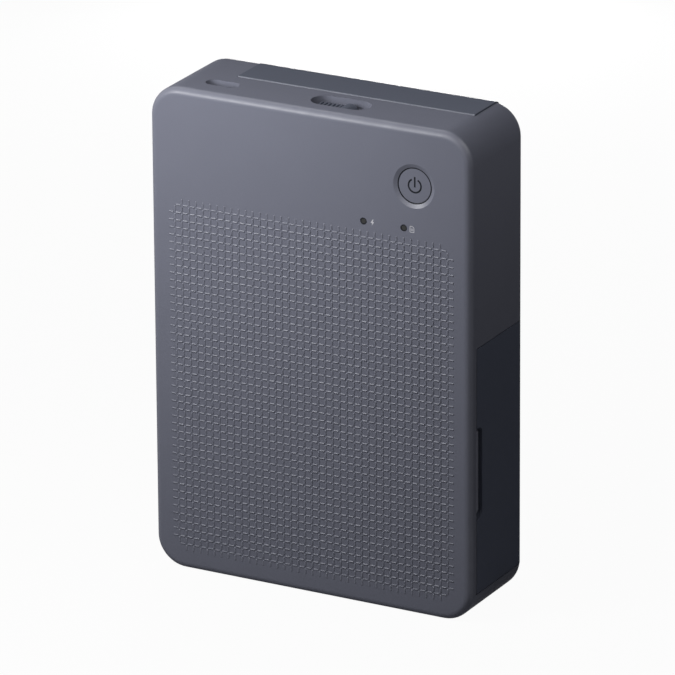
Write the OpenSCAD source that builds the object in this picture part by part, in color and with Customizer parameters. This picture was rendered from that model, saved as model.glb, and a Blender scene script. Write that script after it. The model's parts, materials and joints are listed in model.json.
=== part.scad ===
// Pocket photo printer that stands on its short end, with its rear cover, ink door and print engine.
// The origin is the middle of the base. X points right, Y to the back and Z up, in millimetres.

/* [Body] */
// Width of the body
body_w = 102.2; // [100:0.1:108]
// Height of the body with its rear cover
body_h = 145.8; // [145:0.1:152]
// Depth of the body with its rear feet
body_d = 32.9; // [32.5:0.1:35]
// Radius of the corners of the outline
corner_r = 9.2; // [7.5:0.1:11]
// Radius of the front edge
front_r = 2.2; // [2.1:0.1:3]
// Radius of the rear edge
rear_r = 3; // [2.6:0.1:3.6]
// Thickness of the walls of the shell
wall = 1.8; // [1.5:0.1:2]

/* [Rear cover] */
// Distance from the cover to the left side
cover_left_margin = 19.25; // [19:0.05:20.5]
// Distance from the cover to the right side
cover_margin = 7.65; // [7.4:0.05:8]
// Height by which the cover stands proud of the shell
cover_proud = 0.2; // [0.1:0.05:0.3]
// Distance from the front face to the front edge of the cover
cover_front = 17; // [16.5:0.1:17.5]
// Radius of the cover's front edge
cover_edge_r = 0.4; // [0.2:0.1:0.6]
// Gap round the cover
cover_gap = 0.2; // [0.15:0.05:0.3]
// Height of the cover's hinge
hinge_z = 57; // [54:0.5:59]
// Radius of the hinge bead along the cover's lower edge
hinge_r = 2; // [1.8:0.1:2.2]
// Diameter of the hinge pins
pin_d = 1.6; // [1.4:0.1:1.8]

/* [Ink door] */
// Height of the door's lower seam
door_low = 8; // [7.6:0.1:9]
// Height of the door's upper seam
door_high = 82.1; // [80:0.1:84]
// Distance from the front face to the door's front seam
door_front = 3.55; // [3.5:0.05:4.5]
// Gap round the door
door_gap = 0.25; // [0.15:0.05:0.3]
// Height of the lower end of the finger slot
slot_low = 30.4; // [28:0.1:34]
// Height of the upper end of the finger slot
slot_high = 58.1; // [54:0.1:62]
// Depth of the finger slot from the front seam
slot_d = 3.5; // [3:0.1:4]

/* [Controls] */
// Diameter of the power button
button_d = 10; // [9:0.1:11]
// Distance from the power button to the right side
button_x = 17.8; // [17:0.1:21]
// Distance from the top of the shell to the button
button_drop = 17.3; // [16:0.1:19]
// Travel of the power button
button_travel = 0.6; // [0.4:0.1:0.8]
// Diameter of the dish round the button
dish_d = 13; // [12.2:0.1:14]
// Depth of the dish
dish_deep = 0.6; // [0.4:0.1:0.8]
// Diameter of a lamp window
lamp_d = 2; // [1.6:0.1:3]
// Distance from the left lamp window to the right side
lamp_left = 33.7; // [31:0.1:37]
// Distance from the right lamp window to the right side
lamp_right = 21; // [19:0.1:24]
// Distance from the top of the shell to the lamp windows
lamp_drop = 30; // [28:0.1:32]

/* [Cover slide] */
// Length of the recess round the slide knob
recess_l = 18.3; // [17:0.1:20]
// Width of the recess
recess_w = 8.1; // [7:0.1:8.4]
// Depth of the recess
recess_d = 2.6; // [2.2:0.1:2.7]
// Place of the middle of the recess
recess_x = 5.2; // [4:0.1:8]
// Distance from the front face to the middle of the recess
recess_y = 9.9; // [9.5:0.1:10.3]
// Length of the knob
knob_l = 11.8; // [10:0.1:12]
// Width of the knob
knob_w = 4.6; // [4:0.1:5.2]
// Travel of the knob
knob_travel = 3.5; // [2.5:0.1:4]

/* [Charging port] */
// Distance from the port to the left side
port_x = 18.5; // [17:0.1:19]
// Width of the receptacle
port_w = 8.94; // [8.9:0.01:9]
// Height of the receptacle
port_t = 3.26; // [3.2:0.01:3.3]

/* [Paper path] */
// Distance from the paper to each side edge of the cover
paper_inset = 1.65; // [1.5:0.05:2.5]
// Depth of the space for the paper stack
stack_d = 5; // [4.8:0.1:5.2]
// Diameter of the platen roller
platen_d = 9; // [8.4:0.1:9.2]
// Diameter of the exit roller
exit_d = 6; // [5:0.1:6.4]
// Diameter of the pinch roller
pinch_d = 5; // [4:0.1:5.4]
// Diameter of the pickup tyre
tyre_d = 8; // [7:0.1:8.6]
// Diameter of the roller shafts
shaft_d = 3; // [2.4:0.1:3.2]

/* [Ink cassette] */
// Distance from the front wall to the tubes round the spools
tube_gap = 2.1; // [1.8:0.1:2.6]
// Height of the supply spool
supply_z = 66.5; // [66:0.1:68]
// Height of the take-up spool
takeup_z = 25.5; // [25:0.1:26]
// Gap between the full roll of ribbon and its tube
roll_gap = 0.8; // [0.6:0.1:1.8]

/* [Gears] */
// Tooth size, as pitch diameter over number of teeth
tooth_module = 0.5; // [0.49:0.005:0.51]
// Teeth of the platen gear
platen_teeth = 20; // [20:1:21]
// Teeth of the two motor pinions
pinion_teeth = 12; // [12:1:13]
// Teeth of the idler between platen and take-up
idler_a_teeth = 22; // [22:1:23]
// Teeth of the take-up gear
takeup_teeth = 32; // [32:1:33]
// Teeth of the idler between take-up and exit roller
idler_b_teeth = 14; // [14:1:15]
// Teeth of the exit roller's gear
exit_teeth = 18; // [18:1:19]
// Teeth of the pickup roller's gear
pickup_teeth = 24; // [22:1:25]

/* [Hidden] */
$fn = 64;

// Clearances
run_gap = 0.1;
press_gap = 0.3;
eps = 0.01;

// Outside faces
foot_proud = 0.25;
half_w = body_w / 2;
front_y = -body_d / 2;
back_y = body_d / 2 - foot_proud;
top_z = body_h - cover_proud;
in_front = front_y + wall;
in_back = back_y - wall;
in_left = -half_w + wall;
in_right = half_w - wall;

// Rear opening, cover and hinge
rim_w = 4.5;
cover_w = body_w - cover_left_margin - cover_margin;
cover_right = half_w - cover_margin;
cover_left = cover_right - cover_w;
cover_mid = (cover_left + cover_right) / 2;
cover_y = front_y + cover_front;
hinge_y = back_y - hinge_r;
pin_r = pin_d / 2;
ear_w = 3;
ear_inset = 4.85;
ear_x = [cover_left + ear_inset, cover_right - ear_inset - ear_w];
hinge_low = hinge_z - hinge_r - press_gap;

// Door hinge, in the centre of the rounded rear edge
door_x = half_w - rear_r;
door_y = back_y - rear_r;
door_seam = front_y + door_front;
barrel_boss_r = 1.9;
barrel_space = rear_r + press_gap;
pin_low = door_low - 2.6;
pin_high = door_high + 3.2;

// Stack to the left of the cover: left plate, gears, gear cover, and motors up to the side wall
plate_t = 1.2;
cover_t = 1;
gear_t = 3;
motor_r = 7;
plate_margin = 3.45;
gear_space = 2;
left_face = cover_left - plate_margin;
left_plate_x = left_face - plate_t;
gear_x = left_plate_x - gear_space - gear_t;
gear_cover_x = gear_x - press_gap - cover_t;
motor_len = gear_cover_x - press_gap - in_left;

// Right plate and the cassette's end, inside the ink door
handle_t = 1.6;
handle_gap = 2.8;
handle_x = in_right - handle_gap - handle_t;
right_plate_x = handle_x - press_gap - plate_t;
plate_low = 3.4;
plate_front = in_front + press_gap;
plate_back = hinge_y - hinge_r - press_gap;
mech_top = 98;

// Stack from back to front: cover skin, springs, pressure plate, paper, tray, ribbon, head
press_t = 1.2;
spring_space = 3.6;
press_y = in_back - spring_space - press_t;
tray_back = press_y - stack_d;
tray_t = 1;
tray_front = tray_back - tray_t;
path_y = tray_back - 0.6;
platen_r = platen_d / 2;
platen_y = path_y + platen_r;
platen_z = 45;
exit_r = exit_d / 2;
exit_y = path_y + exit_r;
exit_z = 10;
paper_gap = 0.4;
pinch_r = pinch_d / 2;
pinch_y = path_y - paper_gap - pinch_r;
tyre_r = tyre_d / 2;
tyre_t = 1.2;
pickup_y = tray_back + 0.4 - tyre_r;
pickup_z = 88;
shaft_r = shaft_d / 2;
film_y = path_y - 1;
film_t = 0.1;
tube_back = path_y - 0.95;
tube_front = in_front + tube_gap;
tube_r = (tube_back - tube_front) / 2;
tube_y = (tube_back + tube_front) / 2;
tube_wall = 1;
roll_r = tube_r - tube_wall - roll_gap;
takeup_roll_r = 4;
neck_r = 2.2;
socket_r = shaft_r + run_gap;

// Paper width, shared by tray, plate, rollers and exit slot
paper_w = cover_w - 2 * paper_inset;
paper_left = cover_mid - paper_w / 2;
paper_right = cover_mid + paper_w / 2;
guide_t = 1;
guide_gap = 0.3;
tray_low = 60;
tray_top = top_z - 6;
tyre_x = [cover_mid - 9.8, cover_mid + 10.2];

// Board, port, button and lamps
board_stand = 4.92;
board_t = 1.2;
board_y = in_front + board_stand;
board_back = board_y + board_t;
board_low = mech_top + 1;
board_drop = 11.6;
board_high = top_z - board_drop;
board_left = -half_w + 11.1;
board_right = half_w - 9.1;
port_mid = port_x - half_w;
port_room = 0.7;
port_deep = 1.5;
port_y = board_back + port_t / 2;
button_mid = half_w - button_x;
button_z = top_z - button_drop;
button_hole_r = button_d / 2 + press_gap;
lamps = [half_w - lamp_left, half_w - lamp_right];
lamp_z = top_z - lamp_drop;
lamp_r = lamp_d / 2;
board_posts = [[board_left + 4, board_low + 4], [board_right - 4, board_low + 4],
    [cover_mid - 25.8, board_high - 3], [cover_mid + 14, board_high - 3]];

// Screw posts of the back plate
post_x = gear_cover_x - 1.7;
post_r = 1.6;
post_drop = 11.6;
post_z = [14, 66, 104, top_z - post_drop];
screw_r = 0.8;
back_screw_l = 6;
board_screw_l = 4;
screw_head_r = 1.5;
screw_head_t = 0.8;

// Slide recess and latch
recess_mid_y = front_y + recess_y;
recess_wall = 1.2;
recess_floor = top_z - recess_d;
latch_top = recess_floor - recess_wall - press_gap;
latch_t = 1.5;
stem_w = 3;
knob_start = 1.3;
knob_x = recess_x - recess_l / 2 + knob_start;
stem_x = knob_x + 3.3;
knob_ribs = 6;
knob_pitch = 1.25;
hook_w = 4;
hooks = [cover_mid - 23.8, cover_mid + 24.2];
latch_w = 8;
latch_half = 3;
latch_x = [hooks[0], hooks[1] - hook_w];

// Head
head_y = path_y - 6;
head_z = 56.6;
head_rod_r = 1;
head_arm_r = 2;

// Distance between the centres of two gears
function mesh(a, b) = tooth_module * (a + b) / 2;
// Point at distances ra and rb from the points a and b, on the chosen side of the line between them
function between(a, b, ra, rb, side) = let (
    d = norm(b - a),
    along = (ra * ra - rb * rb + d * d) / (2 * d),
    off = side * sqrt(max(0, ra * ra - along * along)),
    u = (b - a) / d
) a + along * u + off * [-u[1], u[0]];
// Direction from a to b
function heading(a, b) = atan2(b[1] - a[1], b[0] - a[0]);
// Turn of a driven gear so that its gap meets the tooth of its driver
function meshed(at, driver_turn, driver_teeth, teeth) =
    at + 180 + 180 / teeth - (driver_turn - at) * driver_teeth / teeth;

platen_at = [platen_y, platen_z];
exit_at = [exit_y, exit_z];
takeup_at = [tube_y, takeup_z];
supply_at = [tube_y, supply_z];
pickup_at = [pickup_y, pickup_z];
head_at = [head_y, head_z];
pinch_at = [pinch_y, exit_z];
drive_at = platen_at + mesh(platen_teeth, pinion_teeth) * [cos(120), sin(120)];
feed_at = pickup_at + mesh(pickup_teeth, pinion_teeth) * [cos(-60), sin(-60)];
idler_a_at = between(platen_at, takeup_at, mesh(platen_teeth, idler_a_teeth),
    mesh(idler_a_teeth, takeup_teeth), -1);
idler_b_at = between(takeup_at, exit_at, mesh(takeup_teeth, idler_b_teeth),
    mesh(idler_b_teeth, exit_teeth), 1);
idler_r = 1.2;

drive_turn = meshed(heading(platen_at, drive_at), 0, platen_teeth, pinion_teeth);
idler_a_turn = meshed(heading(platen_at, idler_a_at), 0, platen_teeth, idler_a_teeth);
takeup_turn = meshed(heading(idler_a_at, takeup_at), idler_a_turn, idler_a_teeth, takeup_teeth);
idler_b_turn = meshed(heading(takeup_at, idler_b_at), takeup_turn, takeup_teeth, idler_b_teeth);
exit_turn = meshed(heading(idler_b_at, exit_at), idler_b_turn, idler_b_teeth, exit_teeth);
feed_turn = meshed(heading(pickup_at, feed_at), 0, pickup_teeth, pinion_teeth);

// Colours
shell_grey = [0.43, 0.43, 0.47];
dark_grey = [0.2, 0.21, 0.24];
black = [0.08, 0.08, 0.09];
steel = [0.75, 0.76, 0.78];
gear_white = [0.9, 0.89, 0.85];
board_green = [0.1, 0.32, 0.2];

// Block between two corners
module block(x0, x1, y0, y1, z0, z1) {
    translate([x0, y0, z0]) cube([x1 - x0, y1 - y0, z1 - z0]);
}

// Round rods along the three axes
module rod_x(x0, x1, at, r) {
    translate([x0, at[0], at[1]]) rotate([0, 90, 0]) cylinder(h = x1 - x0, r = r);
}

module rod_y(x, y0, y1, z, r, r2 = 0) {
    translate([x, y0, z]) rotate([-90, 0, 0]) cylinder(h = y1 - y0, r1 = r, r2 = r2 > 0 ? r2 : r);
}

module rod_z(x, y, z0, z1, r) {
    translate([x, y, z0]) cylinder(h = z1 - z0, r = r);
}

// Flat drawing in Y and Z, drawn out along X
module along_x(x0, x1) {
    translate([x0, 0, 0]) rotate([90, 0, 90]) linear_extrude(x1 - x0) children();
}

// Flat drawing in X and Z, drawn out along Y
module along_y(y0, y1) {
    translate([0, y1, 0]) rotate([90, 0, 0]) linear_extrude(y1 - y0) children();
}

// Rectangle with round corners between two corners
module round_rect(x0, x1, z0, z1, r) {
    translate([x0 + r, z0]) square([x1 - x0 - 2 * r, z1 - z0]);
    translate([x0, z0 + r]) square([x1 - x0, z1 - z0 - 2 * r]);
    for (x = [x0 + r, x1 - r], z = [z0 + r, z1 - r]) translate([x, z]) circle(r);
}

// Section of a side wall from the middle out to a reach, with its front and rear edges rounded
module edge_section(reach, y0, y1, r0, r1) {
    difference() {
        translate([0, y0]) square([reach, y1 - y0]);
        difference() {
            translate([reach - r0, y0 - 1]) square([r0 + 1, r0 + 1]);
            translate([reach - r0, y0 + r0]) circle(r0);
        }
        difference() {
            translate([reach - r1, y1 - r1]) square([r1 + 1, r1 + 1]);
            translate([reach - r1, y1 - r1]) circle(r1);
        }
    }
}

// Rounded slab inside the outline of the body, an even distance inside its sides
module slab(inset, y0, y1, r0, r1) {
    w = half_w - inset;
    r = corner_r - inset;
    low = inset + r;
    high = top_z - inset - r;
    translate([0, 0, low]) linear_extrude(high - low) {
        edge_section(w, y0, y1, r0, r1);
        mirror([1, 0]) edge_section(w, y0, y1, r0, r1);
    }
    translate([w - r, 0, high]) rotate([0, -90, 0]) linear_extrude(2 * (w - r))
        edge_section(r, y0, y1, r0, r1);
    translate([r - w, 0, low]) rotate([0, 90, 0]) linear_extrude(2 * (w - r))
        edge_section(r, y0, y1, r0, r1);
    for (corner = [[1, low, 0], [-1, low, 90], [-1, high, 180], [1, high, 270]])
        translate([corner[0] * (w - r), 0, corner[1]]) rotate([0, corner[2], 0]) rotate([-90, 0, 0])
            rotate_extrude(angle = 90) edge_section(r, y0, y1, r0, r1);
}

// Stadium along X in the top of the shell
module stadium(x, y, l, w, z0, z1) {
    block(x - (l - w) / 2, x + (l - w) / 2, y - w / 2, y + w / 2, z0, z1);
    for (side = [-1, 1]) rod_z(x + side * (l - w) / 2, y, z0, z1, w / 2);
}

// Angle of an involute at a radius, from its base circle
function involute(base, r) = let (t = sqrt(max(0, r * r / (base * base) - 1))) t * 180 / PI - atan(t);
function polar(r, a) = [r * cos(a), r * sin(a)];
tooth_play = 0.06;
pressure_angle = 20;
flank_steps = 3;

// Outline of a spur gear
module gear_outline(teeth) {
    pitch = tooth_module * teeth / 2;
    base = pitch * cos(pressure_angle);
    tip = pitch + 0.8 * tooth_module;
    root = pitch - 1.3 * tooth_module;
    low = max(base, root + 0.05);
    at_pitch = 90 / teeth - tooth_play / pitch * 180 / PI + involute(base, pitch);
    flank = [for (i = [0 : flank_steps]) low + (tip - low) * i / flank_steps];
    polygon([for (k = [0 : teeth - 1]) let (mid = 360 * k / teeth) each concat(
        [polar(root, mid - at_pitch)],
        [for (r = flank) polar(r, mid - at_pitch + involute(base, r))],
        [for (i = [flank_steps : -1 : 0]) polar(flank[i], mid + at_pitch - involute(base, flank[i]))],
        [polar(root, mid + at_pitch)])]);
}

// Gear in the gear bay, with its bore
module gear(teeth, at, turn, bore) {
    translate([gear_x, at[0], at[1]]) rotate([90, 0, 90]) difference() {
        rotate(turn) linear_extrude(gear_t) gear_outline(teeth);
        translate([0, 0, -1]) cylinder(h = gear_t + 2, r = bore);
    }
}

// Shell

// Recess pan, screw posts, board posts, ledges and hinge bosses on the inside of the shell
module shell_inside() {
    stadium(recess_x, recess_mid_y, recess_l + 2 * recess_wall, recess_w + 2 * recess_wall,
        recess_floor - recess_wall, top_z - wall / 2);
    for (z = post_z) rod_y(post_x, in_front - wall / 2, in_back, z, post_r);
    for (post = board_posts) rod_y(post[0], in_front - wall / 2, board_y, post[1], 2);
    for (x = [in_left + 0.9, in_right - 2.5])
        block(x, x + 1.6, in_front - wall / 2, tray_front, mech_top + 8, top_z - 14);
    rod_z(door_x, door_y, pin_low - 0.4, door_low - door_gap, barrel_boss_r);
    rod_z(door_x, door_y, door_high + door_gap, pin_high + 0.4, barrel_boss_r);
}

// Ramp that guides a finger under the door through its slot
ramp_root = 0.6;
module finger_ramp() {
    root = door_seam - ramp_root;
    end = door_seam + slot_d - 0.5;
    x0 = in_right - ramp_root;
    translate([0, 0, slot_low + 2.5]) linear_extrude(slot_high - slot_low - 3.5)
        polygon([[x0, root], [half_w, root], [half_w, door_seam], [half_w - 1, end], [x0, end]]);
}

// Openings in the shell
module shell_cuts() {
    along_y(in_back - eps, back_y + 1)
        round_rect(-half_w + rim_w, half_w - rim_w, rim_w, top_z - rim_w, corner_r - rim_w);
    block(cover_left - cover_gap, cover_right + cover_gap, cover_y - cover_gap, back_y + 1,
        hinge_low, top_z + 1);
    block(door_x - barrel_space, half_w + 1, door_seam, back_y + 1, door_low, door_high);
    rod_y(button_mid, front_y - 1, in_front + 1, button_z, button_hole_r);
    rod_y(button_mid, front_y - eps, front_y + dish_deep, button_z, dish_d / 2, button_hole_r);
    for (x = lamps) rod_y(x, front_y - 1, in_front + 1, lamp_z, lamp_r + 0.05);
    stadium(port_mid, port_y, port_w + 2 * port_room, port_t + 2 * port_room, top_z - wall - 1, top_z + 1);
    stadium(recess_x, recess_mid_y, recess_l, recess_w, recess_floor, top_z + 1);
    block(stem_x - press_gap, stem_x + stem_w + knob_travel + press_gap,
        recess_mid_y - stem_w / 2 - press_gap, recess_mid_y + stem_w / 2 + press_gap,
        recess_floor - recess_wall - 1, recess_floor + 1);
    block(paper_left - 0.5, paper_right + 0.5, path_y - 1.6, path_y + 1.2, -1, wall + 1);
    for (z = post_z) rod_y(post_x, in_back - 8, in_back + 1, z, screw_r);
    for (post = board_posts) rod_y(post[0], board_y - 3.6, board_y + 1, post[1], screw_r);
    rod_z(door_x, door_y, pin_low, pin_high, pin_r);
}

module main_shell() {
    color(shell_grey) difference() {
        union() {
            difference() {
                slab(0, front_y, back_y, front_r, rear_r);
                slab(wall, in_front, in_back, front_r - wall, rear_r - wall);
            }
            shell_inside();
        }
        shell_cuts();
    }
    color(shell_grey) finger_ramp();
}

// Back plate round the lower part of the rear cover
foot_r = 4;
foot_deep = 0.6;
back_feet_at = [[13.6 - half_w, 12], [half_w - 15.1, 12]];
cover_feet_at = [[cover_left + 8, top_z - 11], [cover_right - 8, top_z - 11]];

module foot(at) {
    rod_y(at[0], back_y - foot_deep, back_y + foot_proud, at[1], foot_r);
}

module back_plate() {
    inset = rim_w + door_gap;
    side_gap = cover_gap + 0.25;
    color(shell_grey) difference() {
        union() {
            difference() {
                along_y(in_back, back_y) round_rect(-half_w + inset, half_w - inset, inset,
                    top_z - inset, corner_r - inset);
                block(cover_left - side_gap, cover_right + side_gap, in_back - 1, back_y + 1,
                    hinge_low, top_z);
            }
            for (x = ear_x) {
                rod_x(x, x + ear_w, [hinge_y, hinge_z], hinge_r);
                block(x, x + ear_w, hinge_y - hinge_r, back_y, hinge_z - 6, hinge_z);
            }
        }
        rod_x(ear_x[0] - 1, ear_x[1] + ear_w + 1, [hinge_y, hinge_z], pin_r);
        rod_z(door_x, door_y, door_low, door_high, barrel_space);
        for (z = post_z) {
            rod_y(post_x, in_back - 1, back_y + 1, z, screw_r + 0.2);
            rod_y(post_x, back_y - 1, back_y + 1, z, screw_head_r + run_gap);
        }
        for (at = back_feet_at) rod_y(at[0], back_y - foot_deep, back_y + 1, at[1], foot_r);
    }
}

module rear_feet() {
    color(black) for (at = back_feet_at) foot(at);
}

// Pan head screw along Y with its point towards the front
module screw(x, head_y, z, l) {
    rod_y(x, head_y - l, head_y + eps, z, screw_r);
    difference() {
        rod_y(x, head_y, head_y + screw_head_t, z, screw_head_r);
        block(x - 0.2, x + 0.2, head_y + 0.3, head_y + 1, z - screw_r, z + screw_r);
        block(x - screw_r, x + screw_r, head_y + 0.3, head_y + 1, z - 0.2, z + 0.2);
    }
}

module back_screws() {
    color(steel) for (z = post_z) screw(post_x, back_y - 1, z, back_screw_l);
}

module board_screws() {
    color(steel) for (post = board_posts) screw(post[0], board_back, post[1], board_screw_l);
}

module cover_hinge_pin() {
    color(steel) rod_x(cover_left + 2, cover_right - 2, [hinge_y, hinge_z], pin_r);
}

module door_hinge_pin() {
    color(steel) rod_z(door_x, door_y, pin_low, pin_high, pin_r);
}

// Electronics

module status_lenses() {
    color(black) for (x = lamps) {
        rod_y(x, front_y + 0.1, in_front + 1, lamp_z, lamp_r);
        rod_y(x, in_front, board_y - 0.9, lamp_z, lamp_r + 0.5);
    }
}

module status_lamps() {
    color("white") for (x = lamps)
        block(x - 0.8, x + 0.8, board_y - 0.7, board_y, lamp_z - 0.5, lamp_z + 0.5);
}

module circuit_board() {
    chip_x = cover_mid - 18;
    color(board_green) difference() {
        union() {
            block(board_left, board_right, board_y, board_back, board_low, board_high);
            block(port_mid - 7.5, port_mid + 7.5, board_y, board_back, board_high, top_z - 2.6);
        }
        for (post = board_posts) rod_y(post[0], board_y - 1, board_back + 1, post[1], screw_r + 0.1);
    }
    color(black) {
        block(chip_x, chip_x + 12, board_y - 1.1, board_y, board_low + 8, board_low + 20);
        block(chip_x + 16, chip_x + 22, board_y - 0.9, board_y, board_low + 9, board_low + 17);
        block(board_left + 3, board_left + 8, board_y - 1.6, board_y, board_low + 18, board_low + 23);
    }
}

module tact_switch() {
    color(steel) block(button_mid - 3, button_mid + 3, board_y - 1, board_y, button_z - 3, button_z + 3);
}

module charge_port() {
    shell_t = 0.3;
    high = top_z - port_deep;
    low = high - 7.3;
    color(steel) difference() {
        stadium(port_mid, port_y, port_w, port_t, low, high);
        stadium(port_mid, port_y, port_w - 2 * shell_t, port_t - 2 * shell_t, low + 1, high + 1);
    }
    color(black) block(port_mid - 3.3, port_mid + 3.3, port_y - 0.35, port_y + 0.35, low + 0.9, high - 0.5);
}

module battery_pack() {
    color(dark_grey) along_y(board_back + 1.4, tray_front)
        round_rect(port_mid + 10.6, right_plate_x - 2.4, mech_top + 0.5, top_z - 9.6, 2);
}

// Print engine frame

module paper_tray() {
    inner = [paper_left - guide_gap, paper_right + guide_gap];
    window = tyre_r + 0.6;
    color(dark_grey) difference() {
        union() {
            block(left_face, right_plate_x, tray_front, tray_back, tray_low, tray_top);
            block(in_left + 0.4, in_right - 0.4, tray_front, tray_back, mech_top + 1.5, top_z - corner_r);
            block(inner[0] - guide_t, inner[0], tray_back - eps, press_y + 0.3, tray_low + 2, tray_top);
            block(inner[1], inner[1] + guide_t, tray_back - eps, press_y + 0.3, tray_low + 2, tray_top);
            block(inner[0] - guide_t, inner[1] + guide_t, tray_back - eps, press_y + 0.3,
                tray_top - 1, tray_top);
        }
        block(tyre_x[0] - 0.6, tyre_x[1] + 0.6, tray_front - 1, tray_back + 1, pickup_z - window,
            pickup_z + window);
        for (z = post_z) rod_y(post_x, tray_front - 1, tray_back + 1, z, post_r + 0.2);
    }
}

// Holes for the shafts and the head's rod in a side plate
module plate_holes(x0, x1) {
    for (at = [platen_at, exit_at, pickup_at]) rod_x(x0, x1, at, shaft_r + run_gap);
    rod_x(x0, x1, pinch_at, 1 + run_gap);
    rod_x(x0, x1, head_at, head_rod_r + run_gap);
}

module side_plate_left() {
    color(steel) {
        difference() {
            block(left_plate_x, left_face, plate_front, plate_back, plate_low, mech_top);
            plate_holes(left_plate_x - 1, left_face + 1);
            rod_x(left_plate_x - 1, left_face + 1, takeup_at, shaft_r + run_gap);
        }
        for (at = [idler_a_at, idler_b_at])
            rod_x(gear_cover_x + cover_t, left_plate_x + eps, at, idler_r);
        rod_x(left_face - eps, left_face + 4.3, supply_at, shaft_r - run_gap);
    }
}

module side_plate_right() {
    x1 = right_plate_x + plate_t;
    hole = tube_r + 0.4;
    color(steel) difference() {
        block(right_plate_x, x1, plate_front, plate_back, plate_low, mech_top);
        plate_holes(right_plate_x - 1, x1 + 1);
        for (at = [takeup_at, supply_at]) rod_x(right_plate_x - 1, x1 + 1, at, hole);
        block(right_plate_x - 1, x1 + 1, film_y - 0.6, film_y + 0.6, takeup_z + 3, supply_z - 3);
    }
}

post_front = in_front + 4.65;
post_back = plate_back - 2.9;
cover_posts = [[post_front, 8], [post_front, 50], [post_back, 65], [post_front + 1, 94],
    [post_back + 0.5, 95], [post_back + 2, 22]];

module gear_cover() {
    color(steel) difference() {
        union() {
            block(gear_cover_x, gear_cover_x + cover_t, plate_front, plate_back, plate_low, mech_top);
            for (at = cover_posts) rod_x(gear_cover_x, left_plate_x, at, 1.8);
        }
        for (at = [platen_at, exit_at, pickup_at, takeup_at])
            rod_x(gear_cover_x - 1, gear_cover_x + 2, at, shaft_r + run_gap);
        for (at = [drive_at, feed_at]) rod_x(gear_cover_x - 1, gear_cover_x + 2, at, 1.5);
    }
}

module motor(at) {
    difference() {
        rod_x(gear_cover_x - motor_len, gear_cover_x, at, motor_r);
        rod_x(gear_cover_x - motor_len + 1, gear_cover_x + 1, at, 0.8);
    }
}

module drive_motor() {
    color(steel) motor(drive_at);
}

module pickup_motor() {
    color(steel) motor(feed_at);
}

// Pinion on its motor shaft
module pinion(at, turn) {
    color(gear_white) gear(pinion_teeth, at, turn, 0.7);
    color(steel) rod_x(gear_cover_x - motor_len + 1.5, gear_x + gear_t, at, 0.7);
}

module drive_pinion() {
    pinion(drive_at, drive_turn);
}

module pickup_pinion() {
    pinion(feed_at, feed_turn);
}

// Rollers and their gears

module shaft_to_gear(at) {
    rod_x(gear_cover_x + 0.2, right_plate_x + plate_t, at, shaft_r);
}

module platen_roller() {
    color(steel) shaft_to_gear(platen_at);
    color(black) rod_x(paper_left - 1, paper_right + 0.8, platen_at, platen_r);
}

module platen_gear() {
    color(gear_white) gear(platen_teeth, platen_at, 0, shaft_r);
}

module exit_roller() {
    color(steel) shaft_to_gear(exit_at);
    color(black) rod_x(paper_left - 1, paper_right + 0.8, exit_at, exit_r);
}

module exit_gear() {
    color(gear_white) gear(exit_teeth, exit_at, exit_turn, shaft_r);
}

module pinch_roller() {
    color(steel) rod_x(left_plate_x, right_plate_x + plate_t, pinch_at, 1);
    color(black) rod_x(paper_left - 1, paper_right + 0.8, pinch_at, pinch_r);
}

module pickup_roller() {
    color(steel) shaft_to_gear(pickup_at);
    color(dark_grey) rod_x(tyre_x[0], tyre_x[1], pickup_at, tyre_r - tyre_t);
}

module pickup_tyre() {
    color(black) difference() {
        rod_x(tyre_x[0], tyre_x[1], pickup_at, tyre_r);
        rod_x(tyre_x[0] - 1, tyre_x[1] + 1, pickup_at, tyre_r - tyre_t);
    }
}

module pickup_gear() {
    color(gear_white) gear(pickup_teeth, pickup_at, 0, shaft_r);
}

module idler_gear_a() {
    color(gear_white) gear(idler_a_teeth, idler_a_at, idler_a_turn, idler_r + run_gap);
}

module idler_gear_b() {
    color(gear_white) gear(idler_b_teeth, idler_b_at, idler_b_turn, idler_r + run_gap);
}

module takeup_gear() {
    color(gear_white) gear(takeup_teeth, takeup_at, takeup_turn, shaft_r);
    color(steel) rod_x(gear_cover_x + 0.2, left_face + 4.3, takeup_at, shaft_r);
}

// Ink cassette

// Path of the ribbon from under the supply roll to over the take-up roll, grown by a margin
module film_path(margin) {
    from_z = supply_z - roll_r - run_gap + margin;
    to_z = takeup_z + takeup_roll_r + run_gap - margin;
    bend_up = supply_z - tube_r + 0.5 + margin;
    bend_low = takeup_z + tube_r - 0.5 - margin;
    y1 = film_y + margin;
    y0 = film_y - film_t - margin;
    drop = film_t + 2 * margin;
    polygon([[tube_y, from_z], [y1, bend_up], [y1, bend_low], [tube_y, to_z], [tube_y, to_z + drop],
        [y0, bend_low + drop], [y0, bend_up - drop], [tube_y, from_z - drop]]);
}

module ink_cassette() {
    x0 = left_face + 0.8;
    color(dark_grey) difference() {
        union() {
            for (at = [supply_at, takeup_at]) rod_x(x0, handle_x + handle_t, at, tube_r);
            along_x(handle_x, handle_x + handle_t) round_rect(tube_y - tube_r, tube_y + tube_r - 2,
                takeup_z, supply_z, 0.5);
        }
        for (at = [supply_at, takeup_at]) {
            rod_x(x0 + 1, handle_x, at, tube_r - tube_wall);
            rod_x(x0 - 1, handle_x + handle_t + 1, at, neck_r + run_gap);
        }
        along_x(paper_left, paper_right + 0.5) film_path(0.5);
        block(handle_x - 1, handle_x + handle_t + 1, tube_y - 4, tube_y + 3, takeup_z + 12, supply_z - 12);
    }
}

module ribbon_film() {
    color(black) along_x(paper_left + 0.5, paper_right) film_path(0);
}

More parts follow.
